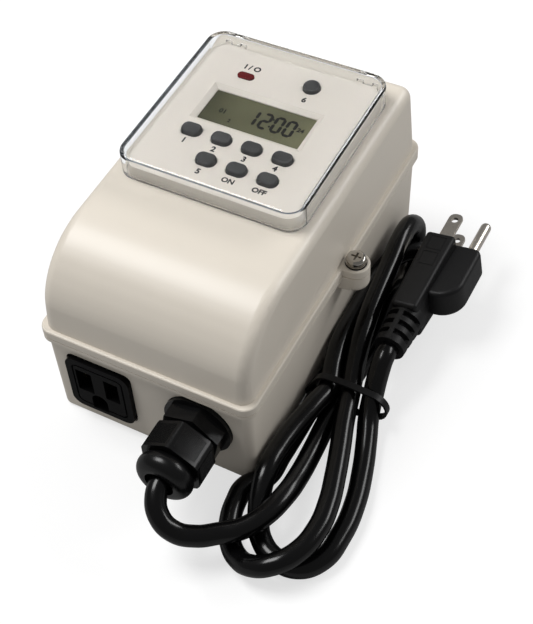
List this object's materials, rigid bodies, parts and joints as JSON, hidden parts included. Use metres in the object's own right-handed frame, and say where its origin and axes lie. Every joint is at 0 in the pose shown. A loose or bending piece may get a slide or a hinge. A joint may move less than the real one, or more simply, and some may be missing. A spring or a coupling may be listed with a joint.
{
  "type": "irrigation controller",
  "caption": "Boxed irrigation controller: digital timer under a clear flip cover, switched outlet, cable gland and a tied supply cord with a moulded plug.",
  "frame": {"origin": "middle of the wall face, the flat underside of the base", "axes": "+Z out of the wall face towards the timer, +Y along the box away from the outlet and gland, +X to the right seen from above"},
  "size_m": [0.1553, 0.2124, 0.1026],
  "materials": {
    "cream_plastic": "satin",
    "face_plastic": "satin",
    "black_plastic": "satin",
    "black_rubber": "matte",
    "nickel_steel": "satin",
    "brass": "polished",
    "clear_plastic": "clear",
    "lcd_glass": "satin",
    "red_lens": "gloss",
    "grey_key": "satin",
    "green_board": "gloss",
    "tan_board": "gloss",
    "ribbon": "satin",
    "blue_plastic": "gloss",
    "core_steel": "matte",
    "copper": "satin",
    "fuse_glass": "clear",
    "green_plastic": "gloss",
    "lead_black": "satin",
    "lead_white": "satin",
    "lead_green": "satin",
    "cord_jacket": "satin"
  },
  "bodies": {
    "base": {"base_box": "cream_plastic", "lid": "cream_plastic", "lid_gasket": "black_rubber", "lid_screws": "nickel_steel", "screw_washers": "nickel_steel", "screw_seals": "black_rubber", "thread_inserts": "brass", "timer_face": "face_plastic", "timer_housing": "face_plastic", "timer_board": "green_board", "timer_screws": "nickel_steel", "timer_chip": "black_plastic", "backup_cell": "nickel_steel", "lcd_panel": "lcd_glass", "lcd_window": "clear_plastic", "lcd_connectors": "black_rubber", "led_lens": "red_lens", "led_lamp": "red_lens", "key_switches": "black_plastic", "ribbon_cable": "ribbon", "power_board": "tan_board", "board_screws": "nickel_steel", "board_header": "face_plastic", "relay": "blue_plastic", "transformer_core": "core_steel", "transformer_winding": "copper", "capacitor": "black_plastic", "fuse": "fuse_glass", "terminal_block": "green_plastic", "terminal_screws": "nickel_steel", "cover_pins": "nickel_steel", "outlet_housing": "black_plastic", "outlet_contacts": "brass", "outlet_earth_contact": "brass", "gland_body": "black_plastic", "gland_washer": "black_rubber", "gland_seal": "black_rubber", "gland_nut": "black_plastic", "gland_locknut": "black_plastic", "lead_live": "lead_black", "lead_neutral": "lead_white", "lead_earth": "lead_green", "lead_load_live": "lead_black", "lead_load_neutral": "lead_white", "power_cord": "cord_jacket", "cord_tie": "black_plastic", "plug_body": "cord_jacket", "plug_blades": "nickel_steel", "plug_ground_pin": "nickel_steel"},
    "cover": {"clear_cover": "clear_plastic"},
    "button_day": {"button_day": "grey_key"},
    "button_hour": {"button_hour": "grey_key"},
    "button_minute": {"button_minute": "grey_key"},
    "button_clock": {"button_clock": "grey_key"},
    "button_program": {"button_program": "grey_key"},
    "button_on": {"button_on": "grey_key"},
    "button_off": {"button_off": "grey_key"},
    "button_manual": {"button_manual": "grey_key"}
  },
  "joints": [
    {"name": "cover_hinge", "type": "hinge", "parent": "base", "child": "cover", "pos_m": [0, 0.0624, 0.0942], "axis": [-1, 0, 0], "range_deg": [0, 95]},
    {"name": "press_day", "type": "slide", "parent": "base", "child": "button_day", "axis": [0, 0, -1], "range_m": [0, 0.001], "stiffness_N_per_m": 800},
    {"name": "press_hour", "type": "slide", "parent": "base", "child": "button_hour", "axis": [0, 0, -1], "range_m": [0, 0.001], "stiffness_N_per_m": 800},
    {"name": "press_minute", "type": "slide", "parent": "base", "child": "button_minute", "axis": [0, 0, -1], "range_m": [0, 0.001], "stiffness_N_per_m": 800},
    {"name": "press_clock", "type": "slide", "parent": "base", "child": "button_clock", "axis": [0, 0, -1], "range_m": [0, 0.001], "stiffness_N_per_m": 800},
    {"name": "press_program", "type": "slide", "parent": "base", "child": "button_program", "axis": [0, 0, -1], "range_m": [0, 0.001], "stiffness_N_per_m": 800},
    {"name": "press_on", "type": "slide", "parent": "base", "child": "button_on", "axis": [0, 0, -1], "range_m": [0, 0.001], "stiffness_N_per_m": 800},
    {"name": "press_off", "type": "slide", "parent": "base", "child": "button_off", "axis": [0, 0, -1], "range_m": [0, 0.001], "stiffness_N_per_m": 800},
    {"name": "press_manual", "type": "slide", "parent": "base", "child": "button_manual", "axis": [0, 0, -1], "range_m": [0, 0.001], "stiffness_N_per_m": 800}
  ]
}
